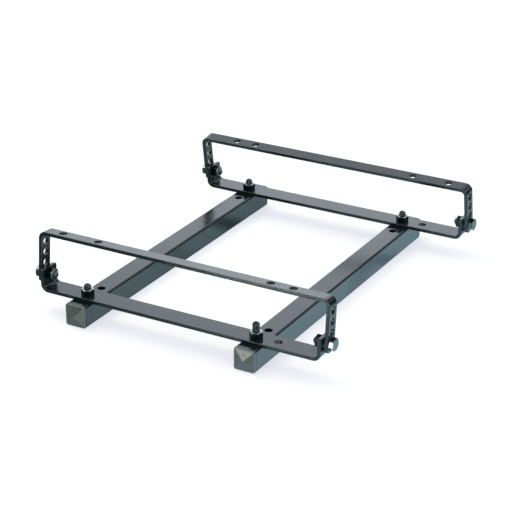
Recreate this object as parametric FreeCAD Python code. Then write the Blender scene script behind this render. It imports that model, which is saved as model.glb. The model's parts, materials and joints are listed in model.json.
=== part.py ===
import FreeCAD, Part
import math
import os

V = FreeCAD.Vector

# Seat subframe: two box-section crossbars stand on the floor and carry two flat side rails.
# A bent seat bar is bolted between the upturned ears of each rail and carries the seat.
# +X is the front, along the rails. +Y is the left, along the crossbars. +Z is up.
# The origin lies on the floor, midway along the rails and midway between them.

# Crossbars
tube_side = 25.0
tube_wall = 2.0
tube_corner = 2.5
crossbar_length = 396.0
crossbar_spacing = 209.0

# Lower rails
rail_inset = 22.0
rail_width = 25.0
rail_thickness = 4.0
rail_length = 343.0
rail_front_overhang = 81.0
rail_bend = 5.0
ear_height = 25.5
ear_corner = 2.0
pivot_height = 17.5

# Seat bars
seat_bar_width = 16.0
seat_bar_thickness = 4.0
seat_bar_bend = 4.0
leg_first_hole = 13.0
leg_hole_pitch = 12.0
leg_hole_count = 4
leg_tail = 9.0
leg_corner = 3.0
leg_hole_diameter = 8.4
seat_hole_diameter = 9.0
seat_inner_hole = 72.0
seat_outer_hole_short = 26.5
seat_outer_hole_long = 46.0
right_lean = 5.0
left_lean = 9.0

# Holes for M8 bolts, and the mill edge of the flat bar
clearance_hole = 9.0
spare_hole_offset = 26.0
access_hole = 18.0
bar_edge_round = 0.5

# M8 fasteners
thread_diameter = 8.0
hex_width = 13.0
head_height = 5.3
nut_height = 6.5
washer_diameter = 16.0
washer_bore = 8.4
washer_thickness = 1.6
thread_clearance = 0.05
thread_dome = 2.0
cross_bolt_length = 20.0
long_cross_bolt_length = 25.0
pivot_bolt_length = 20.0

# How far each crossing nut has turned when it is tight, in degrees
front_right_nut_turn = 15.0
front_left_nut_turn = 19.0
rear_right_nut_turn = 25.0
rear_left_nut_turn = 30.0

# Moulded end plugs
plug_flange = 3.0
plug_bevel = 0.6
plug_border = 1.2
plug_point = 3.0
plug_point_flat = 1.0
plug_washer_room = 1.0
plug_skirt_side = 17.5
plug_skirt_wall = 1.8
plug_fin_count = 3
plug_fin_thickness = 1.2
plug_fin_clearance = 0.1

# Places that follow from the sizes above
rail_end = rail_length / 2
front_crossbar_x = rail_end - rail_front_overhang
rear_crossbar_x = front_crossbar_x - crossbar_spacing
rail_y = crossbar_length / 2 - rail_inset
rail_top = tube_side + rail_thickness
pivot_z = tube_side + pivot_height
seat_top = leg_first_hole + (leg_hole_count - 1) * leg_hole_pitch
seat_bar_length = rail_length + 2 * (washer_thickness + seat_bar_thickness)
tube_bore = tube_side - 2 * tube_wall
washer_seat = tube_side - tube_wall - washer_thickness
plug_skirt_depth = rail_inset - washer_diameter / 2 - plug_washer_room
through = 1.0


def cylinder(diameter, start, direction, length):
    """A solid rod of this diameter, from start along direction."""
    return Part.makeCylinder(diameter / 2, length, V(*start), V(*direction))


def rounded_rectangle(width, height, radius):
    """A closed outline in the XY plane, centred, with its four corners rounded."""
    x = width / 2
    y = height / 2
    inset = radius * (1 - math.sqrt(0.5))
    corners = [(x, y, 1, 1), (-x, y, -1, 1), (-x, -y, -1, -1), (x, -y, 1, -1)]
    arcs = []
    for index, (cx, cy, sx, sy) in enumerate(corners):
        on_x = V(cx - sx * radius, cy, 0)
        on_y = V(cx, cy - sy * radius, 0)
        middle = V(cx - sx * inset, cy - sy * inset, 0)
        ends = (on_y, on_x) if index % 2 == 0 else (on_x, on_y)
        arcs.append((ends[0], middle, ends[1]))
    edges = []
    for index, (first, middle, last) in enumerate(arcs):
        edges.append(Part.Arc(first, middle, last).toShape())
        edges.append(Part.makeLine(last, arcs[(index + 1) % 4][0]))
    return Part.Wire(edges)


def prism(outline, direction):
    """The solid that a closed outline leaves behind when it moves along direction."""
    return Part.Face(outline).extrude(V(*direction))


def crossbar():
    """A square tube along Y, standing on z = 0 and centred, with its holes drilled."""
    outer = rounded_rectangle(tube_side, tube_side, tube_corner)
    inner = rounded_rectangle(tube_bore, tube_bore, tube_corner - tube_wall)
    face = Part.Face(outer).cut(Part.Face(inner))
    tube = face.extrude(V(0, 0, crossbar_length))
    tube.rotate(V(0, 0, 0), V(1, 0, 0), -90)
    tube.translate(V(0, -crossbar_length / 2, tube_side / 2))
    tools = []
    for side in (-1, 1):
        bolt_y = side * rail_y
        spare_y = side * (rail_y - spare_hole_offset)
        top = tube_side / 2
        tools.append(cylinder(clearance_hole, (0, bolt_y, top), (0, 0, 1), tube_side))
        tools.append(cylinder(access_hole, (0, bolt_y, -through), (0, 0, 1), through + tube_side / 2))
        tools.append(cylinder(clearance_hole, (0, spare_y, -through), (0, 0, 1), tube_side + 2 * through))
    return tube.cut(Part.makeCompound(tools))


def bent_strip(width, thickness, bend, points):
    """A flat bar with rounded mill edges, carried along a path in the XZ plane.

    The points are the corners of the bar's middle line, and each inner corner gets an arc
    whose inside radius is the bend.
    """
    radius = bend + thickness / 2
    edges = []
    start = V(points[0][0], 0, points[0][1])
    for before, corner, after in zip(points, points[1:], points[2:]):
        middle = V(corner[0], 0, corner[1])
        back = (V(before[0], 0, before[1]) - middle).normalize()
        ahead = (V(after[0], 0, after[1]) - middle).normalize()
        first = middle + back * radius
        last = middle + ahead * radius
        centre = middle + (back + ahead) * radius
        crown = centre - (back + ahead).normalize() * radius
        edges.append(Part.makeLine(start, first))
        edges.append(Part.Arc(first, crown, last).toShape())
        start = last
    edges.append(Part.makeLine(start, V(points[-1][0], 0, points[-1][1])))
    section = rounded_rectangle(thickness, width, bar_edge_round)
    section.translate(V(points[0][0], 0, points[0][1]))
    return Part.Wire(edges).makePipeShell([section], True, False)


def lower_rail():
    """The flat bar that crosses both crossbars: both of its ends turn up into drilled ears."""
    half = rail_thickness / 2
    end = rail_end - half
    points = [(-end, ear_height), (-end, half), (end, half), (end, ear_height)]
    rail = bent_strip(rail_width, rail_thickness, rail_bend, points)
    outline = rounded_rectangle(rail_width, 2 * ear_height, ear_corner)
    outline.rotate(V(0, 0, 0), V(0, 0, 1), 90)
    outline.rotate(V(0, 0, 0), V(0, 1, 0), 90)
    outline.translate(V(-rail_length, 0, 0))
    rail = rail.common(prism(outline, (2 * rail_length, 0, 0)))
    spare_x = front_crossbar_x + spare_hole_offset
    tools = [cylinder(clearance_hole, (-rail_length, 0, pivot_height), (1, 0, 0), 2 * rail_length)]
    for x in (rear_crossbar_x, front_crossbar_x, spare_x):
        tools.append(cylinder(clearance_hole, (x, 0, -through), (0, 0, 1), rail_thickness + 2 * through))
    return rail.cut(Part.makeCompound(tools))


def seat_bar():
    """The upper bar: both ends turn down into legs with a row of height holes.

    It is drawn about its pivot, which is the last hole of each leg.
    """
    half = seat_bar_thickness / 2
    end = seat_bar_length / 2 - half
    top = seat_top - half
    points = [(-end, -leg_tail), (-end, top), (end, top), (end, -leg_tail)]
    bar = bent_strip(seat_bar_width, seat_bar_thickness, seat_bar_bend, points)
    outline = rounded_rectangle(seat_bar_width, 2 * (seat_top + leg_tail), leg_corner)
    outline.rotate(V(0, 0, 0), V(0, 0, 1), 90)
    outline.rotate(V(0, 0, 0), V(0, 1, 0), 90)
    outline.translate(V(-seat_bar_length, 0, seat_top))
    bar = bar.common(prism(outline, (2 * seat_bar_length, 0, 0)))
    tools = []
    for index in range(leg_hole_count):
        start = (-seat_bar_length, 0, index * leg_hole_pitch)
        tools.append(cylinder(leg_hole_diameter, start, (1, 0, 0), 2 * seat_bar_length))
    rear_end = -seat_bar_length / 2
    front_end = seat_bar_length / 2
    hole_places = (rear_end + seat_outer_hole_short, rear_end + seat_inner_hole,
                   front_end - seat_inner_hole, front_end - seat_outer_hole_long)
    for x in hole_places:
        start = (x, 0, seat_top - seat_bar_thickness - through)
        tools.append(cylinder(seat_hole_diameter, start, (0, 0, 1), seat_bar_thickness + 2 * through))
    return bar.cut(Part.makeCompound(tools))


def hexagon(height, both_ends):
    """A hexagonal blank on z = 0 whose corners are turned off at its top, or at both ends."""
    corner = hex_width / math.sqrt(3)
    turned = hex_width / 2
    drop = (corner - turned) * math.tan(math.radians(30))
    points = [V(corner * math.cos(math.radians(60 * k)), corner * math.sin(math.radians(60 * k)), 0)
              for k in range(7)]
    blank = prism(Part.makePolygon(points), (0, 0, height))
    foot = [(0, 0), (turned, 0), (corner, drop)] if both_ends else [(0, 0), (corner, 0)]
    profile = foot + [(corner, height - drop), (turned, height), (0, height), (0, 0)]
    outline = Part.makePolygon([V(r, 0, z) for r, z in profile])
    return blank.common(Part.Face(outline).revolve(V(0, 0, 0), V(0, 0, 1), 360))


def hex_bolt(length):
    """A hexagon bolt: the head hangs below z = 0, and the shank above it has a domed end."""
    head = hexagon(head_height, False)
    head.rotate(V(0, 0, 0), V(1, 0, 0), 180)
    radius = thread_diameter / 2
    sphere = (radius ** 2 + thread_dome ** 2) / (2 * thread_dome)
    shank = Part.makeCylinder(radius, length)
    ball = Part.makeSphere(sphere, V(0, 0, length - sphere))
    root = Part.makeCylinder(radius, length - thread_dome)
    return head.fuse(root.fuse(shank.common(ball))).removeSplitter()


def hex_nut():
    """A hexagon nut that stands on z = 0, with its bore."""
    bore = cylinder(thread_diameter + 2 * thread_clearance, (0, 0, -through), (0, 0, 1),
                    nut_height + 2 * through)
    return hexagon(nut_height, True).cut(bore)


def washer():
    """A flat washer that lies on z = 0."""
    disc = Part.makeCylinder(washer_diameter / 2, washer_thickness)
    return disc.cut(cylinder(washer_bore, (0, 0, -through), (0, 0, 1), washer_thickness + 2 * through))


def bevelled_plate(side, corner, thickness, bevel):
    """A square plate on z = 0 with rounded corners and a bevel round both of its faces."""
    outlines = []
    for height, inset in ((0, bevel), (bevel, 0), (thickness - bevel, 0), (thickness, bevel)):
        outline = rounded_rectangle(side - 2 * inset, side - 2 * inset, corner - inset)
        outline.translate(V(0, 0, height))
        outlines.append(outline)
    return Part.makeLoft(outlines, True, True)


def end_plug():
    """A plug for the tube's right end: its flange stands on y = 0 and its point faces -Y.

    A hollow skirt reaches into the tube, with fins that grip the four walls.
    """
    plug = bevelled_plate(tube_side, tube_corner, plug_flange, plug_bevel)
    base = tube_side / 2 - plug_border
    flat = plug_point_flat / 2
    point = Part.makeWedge(-base, plug_flange, -base, -flat, -flat,
                           base, plug_flange + plug_point, base, flat, flat)
    point.rotate(V(0, 0, 0), V(1, 0, 0), 90)
    point.rotate(V(0, 0, 0), V(0, 0, 1), 180)
    plug = plug.fuse(point)
    outer = plug_skirt_side / 2
    inner = outer - plug_skirt_wall
    skirt = Part.makeBox(2 * outer, 2 * outer, plug_skirt_depth, V(-outer, -outer, -plug_skirt_depth))
    hollow = Part.makeBox(2 * inner, 2 * inner, plug_skirt_depth, V(-inner, -inner, -plug_skirt_depth))
    plug = plug.fuse(skirt.cut(hollow))
    fin_side = tube_bore - 2 * plug_fin_clearance
    fin_gap = plug_skirt_depth / (plug_fin_count + 1)
    for index in range(plug_fin_count):
        fin = prism(rounded_rectangle(fin_side, fin_side, tube_corner - tube_wall),
                    (0, 0, plug_fin_thickness))
        fin = fin.cut(Part.makeBox(2 * inner, 2 * inner, plug_fin_thickness, V(-inner, -inner, 0)))
        fin.translate(V(0, 0, -fin_gap * (index + 1) - plug_fin_thickness / 2))
        plug = plug.fuse(fin)
    plug = plug.removeSplitter()
    plug.rotate(V(0, 0, 0), V(1, 0, 0), 90)
    return plug


def put(shape, place, turn_axis=(0, 0, 1), turn=0.0):
    """A copy of the shape, turned about an axis through its own origin and then moved."""
    copy = shape.copy()
    copy.rotate(V(0, 0, 0), V(*turn_axis), turn)
    copy.translate(V(*place))
    return copy


def bars():
    """The crossbars, rails and seat bars, with each seat bar leaning inwards about its pivot."""
    nodes = {}
    tube = crossbar()
    nodes["front_crossbar"] = put(tube, (front_crossbar_x, 0, 0))
    nodes["rear_crossbar"] = put(tube, (rear_crossbar_x, 0, 0))
    rail = lower_rail()
    bar = seat_bar()
    turned_bar = put(bar, (0, 0, 0), (0, 0, 1), 180)
    sides = (("right", -1, bar, -right_lean), ("left", 1, turned_bar, left_lean))
    for name, side, upper, lean in sides:
        nodes[name + "_lower_rail"] = put(rail, (0, side * rail_y, tube_side))
        nodes[name + "_seat_bar"] = put(upper, (0, side * rail_y, pivot_z), (1, 0, 0), lean)
    return nodes


def crossing_fasteners():
    """At each crossing a bolt rises from inside the tube, through its top wall and the rail."""
    nodes = {}
    lengths = {"front_right": long_cross_bolt_length}
    turns = {"front_right": front_right_nut_turn, "front_left": front_left_nut_turn,
             "rear_right": rear_right_nut_turn, "rear_left": rear_left_nut_turn}
    for end, x in (("front", front_crossbar_x), ("rear", rear_crossbar_x)):
        for side, y in (("right", -rail_y), ("left", rail_y)):
            name = end + "_" + side
            bolt = hex_bolt(lengths.get(name, cross_bolt_length))
            nodes[name + "_cross_bolt"] = put(bolt, (x, y, washer_seat))
            nodes[name + "_cross_washer"] = put(washer(), (x, y, washer_seat))
            nodes[name + "_cross_nut"] = put(hex_nut(), (x, y, rail_top), (0, 0, 1), turns[name])
    return nodes


def pivot_fasteners():
    """At each ear, from outside: bolt head, leg, spacer washer, ear and nut."""
    nodes = {}
    for end, towards in (("front", -1), ("rear", 1)):
        for side, y in (("right", -rail_y), ("left", rail_y)):
            name = side + "_" + end
            outside = -towards * rail_end
            turn = 90 * towards
            spacer_seat = outside - towards * washer_thickness
            head_seat = spacer_seat - towards * seat_bar_thickness
            nut_seat = outside + towards * rail_thickness
            across = (0, 1, 0)
            bolt = hex_bolt(pivot_bolt_length)
            nodes[name + "_pivot_bolt"] = put(bolt, (head_seat, y, pivot_z), across, turn)
            nodes[name + "_spacer_washer"] = put(washer(), (spacer_seat, y, pivot_z), across, turn)
            nodes[name + "_pivot_nut"] = put(hex_nut(), (nut_seat, y, pivot_z), across, turn)
    return nodes


def plugs():
    """A plug in each open end of the crossbars."""
    nodes = {}
    plug = end_plug()
    for end, x in (("front", front_crossbar_x), ("rear", rear_crossbar_x)):
        for side, sign, turn in (("right", -1, 0), ("left", 1, 180)):
            place = (x, sign * crossbar_length / 2, tube_side / 2)
            nodes[end + "_" + side + "_end_plug"] = put(plug, place, (0, 0, 1), turn)
    return nodes


def main():
    os.makedirs("parts", exist_ok=True)
    nodes = {}
    for group in (bars, crossing_fasteners, pivot_fasteners, plugs):
        nodes.update(group())
    for name, shape in nodes.items():
        if len(shape.Solids) != 1 or not shape.isValid():
            print("check", name, len(shape.Solids), shape.isValid())
        shape.Solids[0].exportStep("parts/" + name + ".step")
    print(len(nodes), "pieces")


main()
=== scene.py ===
# %% [markdown]
# A seat subframe in Blender
#
# This file dresses a steel seat subframe: two square-tube crossbars, two flat side rails, two bent
# seat bars, and the bolts, nuts and plugs that finish them. The steelwork is already modelled at its
# real size and is loaded as a fixed frame. What is left is what the eye judges: the black powder
# coat, real screw threads, moulded plastic, and the light of a plain white studio.

# %% The frame and its box
import json
import math

import bpy
import numpy as np
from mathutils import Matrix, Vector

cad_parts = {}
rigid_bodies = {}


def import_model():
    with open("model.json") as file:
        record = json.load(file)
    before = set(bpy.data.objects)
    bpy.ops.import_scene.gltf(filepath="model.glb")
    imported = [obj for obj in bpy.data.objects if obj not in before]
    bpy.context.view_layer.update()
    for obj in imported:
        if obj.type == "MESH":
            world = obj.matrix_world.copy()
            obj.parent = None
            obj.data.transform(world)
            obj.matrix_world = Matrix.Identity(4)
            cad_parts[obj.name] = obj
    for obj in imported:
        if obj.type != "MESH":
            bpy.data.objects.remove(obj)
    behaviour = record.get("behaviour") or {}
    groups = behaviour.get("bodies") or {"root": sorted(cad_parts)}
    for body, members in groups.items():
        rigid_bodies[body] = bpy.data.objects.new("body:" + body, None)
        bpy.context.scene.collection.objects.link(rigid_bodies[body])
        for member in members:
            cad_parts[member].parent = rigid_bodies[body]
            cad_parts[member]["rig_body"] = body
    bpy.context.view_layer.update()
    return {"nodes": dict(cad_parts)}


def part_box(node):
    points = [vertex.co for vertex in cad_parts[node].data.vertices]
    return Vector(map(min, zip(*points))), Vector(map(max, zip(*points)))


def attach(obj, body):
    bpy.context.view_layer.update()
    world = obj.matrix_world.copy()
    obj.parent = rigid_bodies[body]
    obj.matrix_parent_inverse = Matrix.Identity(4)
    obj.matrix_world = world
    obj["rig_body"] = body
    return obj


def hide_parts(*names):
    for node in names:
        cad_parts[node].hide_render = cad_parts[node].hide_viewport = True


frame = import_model()
nodes = frame["nodes"]
MM = 0.001

# %% [markdown]
# A material is a small network of nodes. Every finish here starts the same way: a fresh material,
# its shader, and patterns over the Object coordinates of the piece, which are metres in the part's
# own frame. Every piece's object stays at the origin, so one pattern runs on from piece to piece at
# one scale. The helpers below are the few kinds of node that the finishes are made of.


# %% Helpers for materials
BEVEL_SAMPLES = 6


def new_material(name):
    """A material with one Principled shader; returns the material, its node tree and the shader."""
    material = bpy.data.materials.new(name)
    material.use_nodes = True
    tree = material.node_tree
    return material, tree, tree.nodes["Principled BSDF"]


def noise(tree, scale, detail=2.0, roughness=0.5):
    """Noise over the piece's Object coordinates, with about `scale` features per metre."""
    place = tree.nodes.new("ShaderNodeTexCoord")
    texture = tree.nodes.new("ShaderNodeTexNoise")
    texture.inputs["Scale"].default_value = scale
    texture.inputs["Detail"].default_value = detail
    texture.inputs["Roughness"].default_value = roughness
    tree.links.new(place.outputs["Object"], texture.inputs["Vector"])
    return texture.outputs["Fac"]


def spread(tree, value, low, high, start=0.3, end=0.7):
    """A value that runs from `low` to `high` as the input runs from `start` to `end`: low plus
    (high - low) times (input - start) / (end - start), and no further than either end."""
    node = tree.nodes.new("ShaderNodeMapRange")
    node.inputs["From Min"].default_value = start
    node.inputs["From Max"].default_value = end
    node.inputs["To Min"].default_value = low
    node.inputs["To Max"].default_value = high
    tree.links.new(value, node.inputs["Value"])
    return node.outputs["Result"]


def maths(tree, operation, first, second):
    """One calculation with two values, each a socket or a plain number."""
    node = tree.nodes.new("ShaderNodeMath")
    node.operation = operation
    for socket, value in zip(node.inputs, (first, second)):
        if isinstance(value, (int, float)):
            socket.default_value = value
        else:
            tree.links.new(value, socket)
    return node.outputs["Value"]


def product(tree, value, *factors):
    """The product of several values, each a socket or a plain number."""
    for factor in factors:
        value = maths(tree, "MULTIPLY", value, factor)
    return value


def mix(tree, share, first, second):
    """A value between two, by a share from 0 to 1: (1 - share) first + share second."""
    node = tree.nodes.new("ShaderNodeMix")
    for socket, value in zip(node.inputs[:4], (share, None, first, second)):
        if isinstance(value, (int, float)):
            socket.default_value = value
        elif value is not None:
            tree.links.new(value, socket)
    return node.outputs[0]


def blend_colours(tree, value, first, second):
    """A colour between two, by a value from 0 to 1. Each colour is three numbers or a socket."""
    node = tree.nodes.new("ShaderNodeMix")
    node.data_type = "RGBA"
    tree.links.new(value, node.inputs[0])
    for socket, colour in ((node.inputs[6], first), (node.inputs[7], second)):
        if isinstance(colour, tuple):
            socket.default_value = (*colour, 1.0)
        else:
            tree.links.new(colour, socket)
    return node.outputs[2]


def bump(tree, height, distance, normal):
    """A bump whose full height is `distance` metres, on top of the given normal."""
    node = tree.nodes.new("ShaderNodeBump")
    node.inputs["Distance"].default_value = distance
    tree.links.new(height, node.inputs["Height"])
    tree.links.new(normal, node.inputs["Normal"])
    return node.outputs["Normal"]


def soft_edges(tree, radius, flat=0.99, sharp=0.80):
    """The surface normal as if every sharp edge were rounded, and a mask that is 1 on an edge.

    The mask rises from 0 to 1 as the cosine between the rounded and the true normal falls from
    `flat` to `sharp`.
    """
    rounded = tree.nodes.new("ShaderNodeBevel")
    rounded.samples = BEVEL_SAMPLES
    rounded.inputs["Radius"].default_value = radius
    true = tree.nodes.new("ShaderNodeNewGeometry")
    cosine = tree.nodes.new("ShaderNodeVectorMath")
    cosine.operation = "DOT_PRODUCT"
    tree.links.new(rounded.outputs["Normal"], cosine.inputs[0])
    tree.links.new(true.outputs["Normal"], cosine.inputs[1])
    mask = spread(tree, cosine.outputs["Value"], 1.0, 0.0, sharp, flat)
    return rounded.outputs["Normal"], mask


# %% [markdown]
# Powder coat is plastic, sprayed on as dust and melted into a skin. It is close to black, and what
# shows is mostly its shine, stronger the flatter the view along a face. Melting leaves a very faint
# waviness two or three millimetres across, with a finer grain inside it. Over sharp edges the skin is
# thin, and the edges are painted a little lighter, which is partly that thin skin and partly a painted
# highlight; here and there a speck has chipped off. The alternative, a painted image of wear, would
# need to be laid out by hand for each bar. Each `noise` below is one pattern: its first number is how
# many features it has in a metre.


# %% Black powder coat
COAT_EDGE = 0.6 * MM
THIN_COAT_AND_PAINTED_HIGHLIGHT = (0.11, 0.12, 0.125)
THIN_COAT_AND_HIGHLIGHT_SHARE = 0.12
CHIPPED_STEEL = (0.42, 0.41, 0.39)
PEEL_HEIGHT = 0.075 * MM
COAT_GRAIN_HEIGHT = 0.034 * MM
COAT_IOR = 1.5


def powder_coat(name, dark, light, gloss):
    """A semi-gloss black coat of roughness about `gloss`, chipped along its edges and painted lighter
    there, partly a thin skin and partly a painted highlight.
    """
    material, tree, shader = new_material(name)
    rounded, edge = soft_edges(tree, COAT_EDGE)
    body = blend_colours(tree, noise(tree, 22.0, 3.0), dark, light)
    # The edges are painted lighter here: partly a thin skin, partly a painted highlight.
    skin_and_painted_highlight = blend_colours(tree, product(tree, edge, THIN_COAT_AND_HIGHLIGHT_SHARE), body, THIN_COAT_AND_PAINTED_HIGHLIGHT)
    specks = product(tree, edge, spread(tree, noise(tree, 210.0, 4.0), 0.0, 1.0, 0.61, 0.65))
    tree.links.new(blend_colours(tree, specks, skin_and_painted_highlight, CHIPPED_STEEL), shader.inputs["Base Color"])
    tree.links.new(spread(tree, noise(tree, 55.0, 4.0), gloss - 0.04, gloss + 0.05),
                   shader.inputs["Roughness"])
    peel = bump(tree, noise(tree, 420.0, 2.0), PEEL_HEIGHT, rounded)
    tree.links.new(bump(tree, noise(tree, 1500.0, 2.0), COAT_GRAIN_HEIGHT, peel), shader.inputs["Normal"])
    shader.inputs["IOR"].default_value = COAT_IOR
    return material


coat = powder_coat("black_powder_coat", (0.0028, 0.0068, 0.008), (0.005, 0.0095, 0.011), 0.15)
print("made", coat.name)

# %% [markdown]
# The bolts and washers carry a dark plating, cloudy from grey to nearly black, with a soft mirror,
# its tones raised a little as painted light. The upright bolts, whose tips show as studs, get a darker
# copy of it as painted shade. The nuts are blackened, and turning their ends has left the end faces,
# chamfers and bores bright. The plugs are moulded plastic, a dark grey that is painted lighter along
# the ridges of their low pyramids as a painted highlight. One recipe serves all four metals: two tones
# and a gloss.


# %% Fastener and plug finishes
METAL_EDGE = 0.25 * MM
WORN_METAL = (0.62, 0.60, 0.56)
METAL_GRAIN_HEIGHT = 0.004 * MM
PLASTIC_EDGE = 0.9 * MM
PAINTED_RIDGE_HIGHLIGHT = (0.27, 0.265, 0.24)
PLASTIC_GRAIN_HEIGHT = 0.012 * MM


def plated_metal(name, dark, light, gloss):
    """A metal of uneven tone between two colours, with a fine grain and bright worn edges."""
    material, tree, shader = new_material(name)
    rounded, edge = soft_edges(tree, METAL_EDGE)
    patches = spread(tree, noise(tree, 380.0, 5.0, 0.65), 0.0, 1.0, 0.35, 0.7)
    worn = product(tree, edge, spread(tree, noise(tree, 260.0, 3.0), 0.1, 1.0, 0.4, 0.6))
    body = blend_colours(tree, patches, dark, light)
    tree.links.new(blend_colours(tree, worn, body, WORN_METAL), shader.inputs["Base Color"])
    tree.links.new(spread(tree, noise(tree, 900.0, 3.0), gloss - 0.06, gloss + 0.08),
                   shader.inputs["Roughness"])
    grain = bump(tree, noise(tree, 2600.0, 3.0), METAL_GRAIN_HEIGHT, rounded)
    tree.links.new(grain, shader.inputs["Normal"])
    shader.inputs["Metallic"].default_value = 1.0
    return material


def moulded_plastic(name, dark, light, gloss):
    """Dark grey plastic with the fine grain of a spark-eroded mould, painted lighter on its ridges as a
    painted highlight.
    The ridges are blunt, so the edge mask starts at a much smaller turn of the normal than elsewhere."""
    material, tree, shader = new_material(name)
    rounded, edge = soft_edges(tree, PLASTIC_EDGE, flat=0.999, sharp=0.95)
    body = blend_colours(tree, noise(tree, 160.0, 4.0), dark, light)
    # The ridges are painted lighter here as a painted highlight.
    ridge_highlight = product(tree, edge, spread(tree, noise(tree, 200.0, 3.0), 0.25, 0.9))
    tree.links.new(blend_colours(tree, ridge_highlight, body, PAINTED_RIDGE_HIGHLIGHT), shader.inputs["Base Color"])
    tree.links.new(spread(tree, noise(tree, 300.0, 3.0), gloss - 0.05, gloss + 0.07),
                   shader.inputs["Roughness"])
    grain = bump(tree, noise(tree, 2800.0, 2.0), PLASTIC_GRAIN_HEIGHT, rounded)
    tree.links.new(grain, shader.inputs["Normal"])
    return material


# The plating's tones are raised here as painted light; the studs' copy below is darker as painted shade.
plate_with_painted_light = plated_metal("dark_plated_steel_painted_light", (0.050, 0.058, 0.062), (0.21, 0.225, 0.23), 0.15)
stud_plate_painted_shade = plated_metal("stud_steel_painted_shade", (0.022, 0.027, 0.028), (0.11, 0.118, 0.115), 0.12)
black_nut = plated_metal("blackened_steel", (0.010, 0.016, 0.018), (0.04, 0.047, 0.048), 0.20)
turned = plated_metal("turned_steel", (0.24, 0.24, 0.22), (0.42, 0.42, 0.38), 0.20)
plastic = moulded_plastic("moulded_plug_plastic", (0.040, 0.050, 0.047), (0.070, 0.081, 0.076), 0.28)


def dress(name, material):
    """Gives a piece of the frame its finish, in every slot it has."""
    mesh = nodes[name].data
    for index in range(len(mesh.materials)):
        mesh.materials[index] = material


for name in nodes:
    if name.endswith("end_plug"):
        dress(name, plastic)
    elif name.endswith("washer"):
        dress(name, plate_with_painted_light)
    elif not name.endswith(("bolt", "nut")):
        dress(name, coat)
print("dressed the bars, plugs and washers")

# %% [markdown]
# The bolts and nuts of the frame are plain: a smooth shank stands for a thread, because only size
# matters to the mechanics. Here each one is made again as a single skin of revolution whose radius
# also changes round the axis. Rows of points run along the outline, from the middle of the head to
# the tip, and columns run round. A modelled thread catches the light along its turns, which a bump
# can't do on the outline. The frame says where each one sits.

# %% A skin from rows and columns
COLUMNS = 72
TURN = np.arange(COLUMNS) * 2 * np.pi / COLUMNS
HEX_WIDTH = 13.0 * MM
HEX_CORNER_ROUND = 0.12 * MM
CHAMFER_CIRCLE = 0.475 * HEX_WIDTH
CHAMFER_SLOPE = math.tan(math.radians(30))
CHAMFER_STEPS = (0.0, 0.35, 0.7, 1.0)
SHARP_FROM = math.radians(32)


def hexagon(turn):
    """Distance from the axis to a hexagon's wall: half its width over the cosine of the angle from
    the nearest flat, with the six corners taken down a little. A corner points at angle 0."""
    from_flat = np.mod(turn, np.pi / 3) - np.pi / 6
    wall = HEX_WIDTH / 2 / np.cos(from_flat)
    return np.minimum(wall, HEX_WIDTH / math.sqrt(3) - HEX_CORNER_ROUND)


def skin(name, radius, height, place, axis, corner, ring):
    """A mesh of points at place + radius cos(turn) corner + radius sin(turn) across + height axis.

    `across` is square to the axis and the corner direction. radius and height have a row for each
    step of the outline and a column for each turn. A ring joins its last row to its first;
    otherwise both ends are closed by a flat cap.
    """
    axis, corner = np.array(axis, float), np.array(corner, float)
    across = np.cross(axis, corner)
    points = (np.array(place) + (radius * np.cos(TURN))[..., None] * corner
              + (radius * np.sin(TURN))[..., None] * across + height[..., None] * axis)
    rows = len(radius)
    here = np.arange(rows * COLUMNS).reshape(rows, COLUMNS)
    if ring:
        here = np.vstack([here, here[:1]])
    beside = np.roll(here, -1, axis=1)
    quads = np.stack([here[:-1], beside[:-1], beside[1:], here[1:]], axis=-1).reshape(-1, 4)
    faces = quads.tolist()
    if not ring:
        faces += [here[0, ::-1].tolist(), here[-1].tolist()]
    mesh = bpy.data.meshes.new(name)
    mesh.from_pydata(points.reshape(-1, 3), [], faces)
    mesh.shade_smooth()
    mesh.set_sharp_from_angle(angle=SHARP_FROM)
    piece = bpy.data.objects.new(name, mesh)
    bpy.context.scene.collection.objects.link(piece)
    return piece


def row(radius, height):
    """One row of the outline: a radius and a height, each a number or a value for every column."""
    return np.broadcast_to(radius, (COLUMNS,)), np.broadcast_to(height, (COLUMNS,))


def chamfer_rows(level, side):
    """Rows out from the chamfer circle to the wall: the cone drops by the slope times the distance.
    side is -1 where the solid lies above the level, and 1 where it lies below."""
    wall = hexagon(TURN)
    out = []
    for share in CHAMFER_STEPS:
        reach = CHAMFER_CIRCLE + share * (wall - CHAMFER_CIRCLE)
        out.append(row(reach, level - side * (reach - CHAMFER_CIRCLE) * CHAMFER_SLOPE))
    return out


# %% [markdown]
# A bolt: the head is a hexagon whose corners are turned off by a 30 degree cone, the shank carries a
# thread from head to tip, and the tip is domed. The thread is cut by making the radius fall and rise
# once for each pitch along the shank, with the start of each turn moving round the axis. The dome is
# the cap of a sphere, whose radius is (thread radius squared + height squared) / (2 height).

# %% Bolts with a thread
THREAD_RADIUS = 4.0 * MM
THREAD_DEPTH = 0.70 * MM
THREAD_PITCH = 1.25 * MM
THREAD_FADE = 1.2 * MM
CREST_SHARE = 0.125
ROOT_SHARE = 0.25
ROWS_PER_PITCH = 10
HEAD_HEIGHT = 5.3 * MM
WASHER_FACE = 5.8 * MM
WASHER_FACE_STEP = 0.3 * MM
DOME_HEIGHT = 3.0 * MM
DOME_SPHERE = (THREAD_RADIUS ** 2 + DOME_HEIGHT ** 2) / (2 * DOME_HEIGHT)
DOME_ROWS = 9
# The angle from the axis, in radians, at which the dome ends in a small flat cap
DOME_FLAT = 0.06
CORNER_BREAK = 0.1 * MM
FACE_STEPS = (0.3, 0.9)


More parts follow.
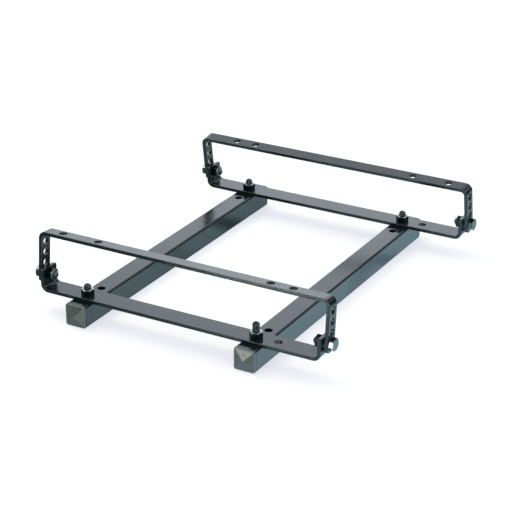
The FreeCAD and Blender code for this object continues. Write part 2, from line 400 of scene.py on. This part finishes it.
def thread_rows(start, end):
    """Rows of thread between two heights: full radius less a groove whose depth follows a sawtooth
    of height over pitch less turn, flat on the crest and in the root, and fading at both ends."""
    height = np.linspace(start, end, int((end - start) / THREAD_PITCH * ROWS_PER_PITCH))
    phase = height[:, None] / THREAD_PITCH - TURN / (2 * np.pi)
    saw = 2 * np.abs(np.mod(phase, 1.0) - 0.5)
    groove = np.clip((1 - CREST_SHARE - saw) / (1 - CREST_SHARE - ROOT_SHARE), 0, 1)
    fade = np.clip((height - start) / THREAD_FADE, 0, 1) * np.clip((end - height) / THREAD_FADE, 0, 1)
    radius = THREAD_RADIUS - THREAD_DEPTH * groove * fade[:, None]
    return [row(r, h) for r, h in zip(radius, height)]


def bolt(name, place, axis, corner, length):
    """A hexagon bolt: its head stands behind the place, and its shank runs along the axis."""
    wall = hexagon(TURN)
    rows = [row(share * CHAMFER_CIRCLE, -HEAD_HEIGHT) for share in FACE_STEPS]
    rows += chamfer_rows(-HEAD_HEIGHT, -1)
    rows += [row(wall, -0.5 * HEAD_HEIGHT), row(wall, -WASHER_FACE_STEP - CORNER_BREAK),
             row(wall - CORNER_BREAK, -WASHER_FACE_STEP), row(WASHER_FACE, -WASHER_FACE_STEP),
             row(WASHER_FACE, 0.0), row(THREAD_RADIUS, 0.0)]
    rows += thread_rows(CORNER_BREAK, length - DOME_HEIGHT)
    for angle in np.linspace(math.asin(THREAD_RADIUS / DOME_SPHERE), DOME_FLAT, DOME_ROWS):
        rows.append(row(DOME_SPHERE * math.sin(angle), length - DOME_SPHERE * (1 - math.cos(angle))))
    radius, height = (np.array(part) for part in zip(*rows))
    piece = skin(name, radius, height, place, axis, corner, ring=False)
    # The upright bolts take the darker copy of the plating, as painted shade.
    piece.data.materials.append(stud_plate_painted_shade if "_cross_" in name else plate_with_painted_light)
    return piece


# %% [markdown]
# Where a bolt sits follows from its node's box: the crossing bolts stand upright with the head
# below, and the pivot bolts lie along X with the head outside. A pivot bolt's hexagon has a corner
# at the top, as the frame has it.


# %% Seats of the bolts and nuts
def seat(name, head):
    """Where a fastener starts, which way it points, and how far it reaches, from its node's box.

    head is the part of the box that lies behind the seat: the head of a bolt, nothing for a nut.
    """
    low, high = (np.array(corner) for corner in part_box(name))
    middle = (low + high) / 2
    if "_cross_" in name:
        return np.array([middle[0], middle[1], low[2] + head]), (0, 0, 1), high[2] - low[2] - head
    outside, inside = (low[0], high[0]) if middle[0] < 0 else (high[0], low[0])
    way = math.copysign(1.0, inside - outside)
    start = np.array([outside + way * head, middle[1], middle[2]])
    return start, (way, 0, 0), abs(inside - outside) - head


# How far a pivot bolt's head has turned from a corner at the top towards +Y, in degrees
HEAD_TURNS = {"right_front_pivot_bolt": 15}


def stand_for(piece, name):
    """Puts a piece in the place of a node: same body, and the node is hidden."""
    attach(piece, nodes[name]["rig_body"])
    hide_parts(name)


for name in [n for n in nodes if n.endswith("bolt")]:
    place, axis, length = seat(name, HEAD_HEIGHT)
    corner = (1, 0, 0) if axis[2] else (0, 0, 1)
    if name in HEAD_TURNS:
        turn = math.radians(HEAD_TURNS[name])
        corner = (0, math.sin(turn), math.cos(turn))
    stand_for(bolt(name + "_threaded", place, axis, corner, length), name)
    print(name, "reaches", round(length / MM, 1), "mm from its seat")

# %% [markdown]
# A nut is a ring: its outline runs out along the bottom face, up the hexagonal wall, in along the
# top and back down the bore, which starts with a countersink. Each nut has been turned to its own
# angle, so the angle is read from the frame: it is that of the point furthest from the axis.

# %% Nuts with a countersunk bore
BORE_RADIUS = THREAD_RADIUS + 0.05 * MM
COUNTERSINK_RADIUS = 4.5 * MM
COUNTERSINK_DEPTH = COUNTERSINK_RADIUS - BORE_RADIUS


def corner_direction(name, place, axis):
    """The direction from a nut's axis to the furthest point of its node's mesh."""
    mesh = nodes[name].data
    points = np.empty(3 * len(mesh.vertices))
    mesh.vertices.foreach_get("co", points)
    offset = points.reshape(-1, 3) - place
    axis = np.array(axis, float)
    offset -= np.outer(offset @ axis, axis)
    furthest = offset[np.argmax(np.linalg.norm(offset, axis=1))]
    return furthest / np.linalg.norm(furthest)


def nut(name, place, axis, corner, height):
    """A hexagon nut that stands on the place: blackened walls, bright turned ends and bore."""
    below = [row(BORE_RADIUS, COUNTERSINK_DEPTH), row(COUNTERSINK_RADIUS, 0.0), *chamfer_rows(0.0, -1)]
    above = [*chamfer_rows(height, 1)[::-1], row(COUNTERSINK_RADIUS, height),
             row(BORE_RADIUS, height - COUNTERSINK_DEPTH)]
    rows = [*below, row(hexagon(TURN), 0.5 * height), *above]
    radius, level = (np.array(part) for part in zip(*rows))
    piece = skin(name, radius, level, place, axis, corner, ring=True)
    piece.data.materials.append(black_nut)
    piece.data.materials.append(turned)
    # A row of faces has the number of the row of points that it starts from; two rows are the wall
    wall_start = len(below) - 1
    finish = np.ones((len(rows), COLUMNS), dtype=np.int32)
    finish[wall_start:wall_start + 2] = 0
    piece.data.polygons.foreach_set("material_index", finish.reshape(-1))
    return piece


for name in [n for n in nodes if n.endswith("nut")]:
    place, axis, height = seat(name, 0.0)
    corner = corner_direction(name, place, axis)
    stand_for(nut(name + "_turned", place, axis, corner, height), name)
print("made the bolts and nuts")

# %% [markdown]
# The studio is a pale floor under a soft white room. Black gloss shows only what it mirrors, so the
# floor and the room matter more than any lamp. The floor is written for three kinds of ray. The
# camera sees it white, with a faint shadow. The gloss of the steel sees dark paper and a satin mirror
# of the room, with a painted patch of light on it, a glow that no lamp casts, brightest just in front
# of the front crossbar: that is the painted reflection that the upright sides of the tubes show.
# Every other kind of ray sees plain white paper.

# %% Floor
REACH = 6.0
floor_mesh = bpy.data.meshes.new("studio_floor")
corners = REACH * np.array([[-1, -1, 0], [1, -1, 0], [1, 1, 0], [-1, 1, 0]])
floor_mesh.from_pydata(corners.tolist(), [], [(0, 1, 2, 3)])
floor = bpy.data.objects.new("studio_floor", floor_mesh)
bpy.context.scene.collection.objects.link(floor)

PAPER_DARK, PAPER_LIGHT = (0.88, 0.88, 0.88), (0.92, 0.92, 0.92)
PAPER_ROUGHNESS = 0.9
CAMERA_PAPER = (0.46, 0.42, 0.34)
CAMERA_GLOW = (0.57, 0.60, 0.675)
GLOSSY_PAPER = (0.03, 0.035, 0.04)
SATIN = (0.74, 0.97, 0.98, 1.0)
SATIN_ROUGHNESS = 0.2
SHEEN = 0.80
PAINTED_PATCH_COLOUR = (0.66, 1.0, 1.2)
GLOW = 0.74
GLOW_STARTS, GLOW_PEAKS, GLOW_ENDS = -0.13, 0.13, 0.42


def floor_paper(name):
    """White paper that glows for the camera. Glossy rays see dark paper, a satin mirror and a painted
    patch of light, a glow that no lamp casts, whose strength is a tent over X: the smaller of a rising
    and a falling ramp."""
    material, tree, shader = new_material(name)
    rays = tree.nodes.new("ShaderNodeLightPath")
    camera_ray, glossy_ray = rays.outputs["Is Camera Ray"], rays.outputs["Is Glossy Ray"]
    paper = blend_colours(tree, noise(tree, 35.0, 4.0), PAPER_DARK, PAPER_LIGHT)
    paper = blend_colours(tree, camera_ray, paper, CAMERA_PAPER)
    tree.links.new(blend_colours(tree, glossy_ray, paper, GLOSSY_PAPER), shader.inputs["Base Color"])
    shader.inputs["Roughness"].default_value = PAPER_ROUGHNESS
    shader.inputs["Specular IOR Level"].default_value = 0.0
    satin = tree.nodes.new("ShaderNodeBsdfGlossy")
    satin.inputs["Roughness"].default_value = SATIN_ROUGHNESS
    satin.inputs["Color"].default_value = SATIN
    mirrored = tree.nodes.new("ShaderNodeMixShader")
    tree.links.new(product(tree, glossy_ray, SHEEN), mirrored.inputs["Fac"])
    tree.links.new(shader.outputs["BSDF"], mirrored.inputs[1])
    tree.links.new(satin.outputs["BSDF"], mirrored.inputs[2])
    place = tree.nodes.new("ShaderNodeTexCoord")
    split = tree.nodes.new("ShaderNodeSeparateXYZ")
    tree.links.new(place.outputs["Object"], split.inputs["Vector"])
    # The patch below is painted light: a glow on the floor that no lamp casts, seen only in reflections.
    rising = spread(tree, split.outputs["X"], 0.0, GLOW, GLOW_STARTS, GLOW_PEAKS)
    falling = spread(tree, split.outputs["X"], GLOW, 0.0, GLOW_PEAKS, GLOW_ENDS)
    across = maths(tree, "MINIMUM", rising, falling)
    glow = tree.nodes.new("ShaderNodeEmission")
    strength = maths(tree, "ADD", camera_ray, product(tree, glossy_ray, across))
    tree.links.new(strength, glow.inputs["Strength"])
    tree.links.new(blend_colours(tree, camera_ray, PAINTED_PATCH_COLOUR, CAMERA_GLOW), glow.inputs["Color"])
    both = tree.nodes.new("ShaderNodeAddShader")
    tree.links.new(mirrored.outputs["Shader"], both.inputs[0])
    tree.links.new(glow.outputs["Emission"], both.inputs[1])
    tree.links.new(both.outputs["Shader"], tree.nodes["Material Output"].inputs["Surface"])
    return material


floor_mesh.materials.append(floor_paper("studio_floor_paper"))
print("floor of", 2 * REACH, "metres")

# %% [markdown]
# The room's brightness is a function of direction alone. It rises from the near wall to the far
# wall, sooner on the right, and falls again towards the ceiling, which is half as bright as the far
# wall. The horizon is dark, and at the far right the dark band stands higher. A dark flag hangs on
# the far wall too, between the part that the tops mirror and the part that the sides mirror. Rounded
# corners mirror band and flag, so a dark line runs along the tubes and a dark patch marks every bend.
# Three soft boxes are added: the one overhead casts the faint shadows, the key box lights the plugs
# from the near side, and the low box is what the plugs' upper facets and the nearest bolt head mirror.

# %% Room
NEAR_WALL, FAR_WALL, CEILING, HORIZON = 0.20, 2.00, 1.06, 0.03
ROOM_COLOUR = (0.92, 1.0, 1.09, 1.0)
# Each range below is where a change starts and ends, along X, Y or Z of the direction
WALL_DEPTH = (-0.5, 0.7)
RIGHT_SHARE = 0.9
CEILING_Z = (0.28, 0.75)
LEFT_BAND_Z = (0.06, 0.16)
RIGHT_BAND_Z = (0.28, 0.44)
ABOVE_RIGHT_BAND = 1.13
FAR_RIGHT_X, FAR_Y = (-0.1, 0.3), (0.45, 0.7)
LEFT_CORNER = 0.78
LEFT_CORNER_X = (-0.58, -0.46)
# The flag hangs from X = 0 to the slanted line Z = FLAG_SLOPE * X, with its top at FLAG_TOP_Z
FLAG_SLOPE = 1.12
FLAG_SLANT = (0.0, 0.05)
FLAG_X, FLAG_TOP_Z = (0.0, 0.12), (0.64, 0.72)
LAMP_COLOUR = (1.0, 0.94, 0.82)
LAMP_TARGET = (0.0, 0.0, 0.03)


def studio_room():
    """World light: a wall by depth, mixed with the ceiling by height, times the dark band by height,
    times a dimmer corner at the left, times the dark flag. The camera itself sees plain white."""
    world = bpy.context.scene.world or bpy.data.worlds.new("studio")
    bpy.context.scene.world = world
    world.use_nodes = True
    tree = world.node_tree
    background = tree.nodes["Background"]
    direction = tree.nodes.new("ShaderNodeTexCoord")
    split = tree.nodes.new("ShaderNodeSeparateXYZ")
    tree.links.new(direction.outputs["Generated"], split.inputs["Vector"])
    x, y, z = (split.outputs[axis] for axis in "XYZ")

    depth = maths(tree, "ADD", y, product(tree, maths(tree, "MAXIMUM", x, 0.0), RIGHT_SHARE))
    wall = spread(tree, depth, NEAR_WALL, FAR_WALL, *WALL_DEPTH)
    shell = mix(tree, spread(tree, z, 0.0, 1.0, *CEILING_Z), wall, CEILING)

    far = spread(tree, y, 0.0, 1.0, *FAR_Y)
    band = mix(tree, product(tree, spread(tree, x, 0.0, 1.0, *FAR_RIGHT_X), far),
               spread(tree, z, HORIZON, 1.0, *LEFT_BAND_Z),
               spread(tree, z, HORIZON, ABOVE_RIGHT_BAND, *RIGHT_BAND_Z))
    corner = spread(tree, x, LEFT_CORNER, 1.0, *LEFT_CORNER_X)

    slant = maths(tree, "SUBTRACT", z, product(tree, x, FLAG_SLOPE))
    flag = product(tree, spread(tree, slant, 0.0, 1.0, *FLAG_SLANT), spread(tree, x, 0.0, 1.0, *FLAG_X),
                   spread(tree, z, 1.0, 0.0, *FLAG_TOP_Z), far)
    unflagged = spread(tree, flag, 1.0, HORIZON, 0.0, 1.0)

    rays = tree.nodes.new("ShaderNodeLightPath")
    room = product(tree, shell, band, corner, unflagged)
    tree.links.new(mix(tree, rays.outputs["Is Camera Ray"], room, 1.0), background.inputs["Strength"])
    background.inputs["Color"].default_value = ROOM_COLOUR


def lamp(name, place, width, height, power, target=LAMP_TARGET):
    """A soft box of `width` by `height` metres at `place`, aimed at `target`."""
    light = bpy.data.lights.new(name, "AREA")
    light.shape = "RECTANGLE"
    light.size = width
    light.size_y = height
    light.energy = power
    light.color = LAMP_COLOUR
    lamp_object = bpy.data.objects.new(name, light)
    lamp_object.location = place
    aim = np.array(target) - np.array(place)
    yaw = math.atan2(aim[0], -aim[1])
    tilt = math.acos(-aim[2] / np.linalg.norm(aim))
    lamp_object.rotation_euler = (tilt, 0.0, yaw + math.pi)
    bpy.context.scene.collection.objects.link(lamp_object)


studio_room()
lamp("overhead_box", (-0.85, 0.05, 1.5), 0.5, 0.5, 7.5)
lamp("key_box", (-0.2, -1.75, 0.93), 0.3, 0.3, 3.0, (0.0, -0.1, 0.03))
lamp("low_box", (-0.23, -0.92, 0.055), 0.24, 0.09, 1.2, (0.09, -0.2, 0.02))
print("room and three soft boxes")

# %% [markdown]
# The camera stands where the photographer stood: a little to the front, above the near rail, with a
# long lens, so that the far rail is only slightly smaller than the near one.

# %% Camera
AZIMUTH = 29.49
ELEVATION = 24.11
DISTANCE = 1971.7 * MM
TARGET = np.array([2.7, -21.0, 40.0]) * MM
LENS_IN_PIXELS = 1764.6
FRAME_PIXELS = 512
SENSOR_WIDTH = 36.0
azimuth, elevation = math.radians(AZIMUTH), math.radians(ELEVATION)
back = np.array([math.sin(azimuth) * math.cos(elevation), -math.cos(azimuth) * math.cos(elevation),
                 math.sin(elevation)])
camera_data = bpy.data.cameras.new("camera")
camera_data.sensor_width = SENSOR_WIDTH
camera_data.lens = SENSOR_WIDTH * LENS_IN_PIXELS / FRAME_PIXELS
camera = bpy.data.objects.new("camera", camera_data)
camera.location = TARGET + back * DISTANCE
camera.rotation_euler = (math.pi / 2 - elevation, 0.0, azimuth)
bpy.context.scene.collection.objects.link(camera)
bpy.context.scene.camera = camera
bpy.context.scene.view_settings.view_transform = "Standard"
print("camera lens", round(camera_data.lens, 1), "mm")
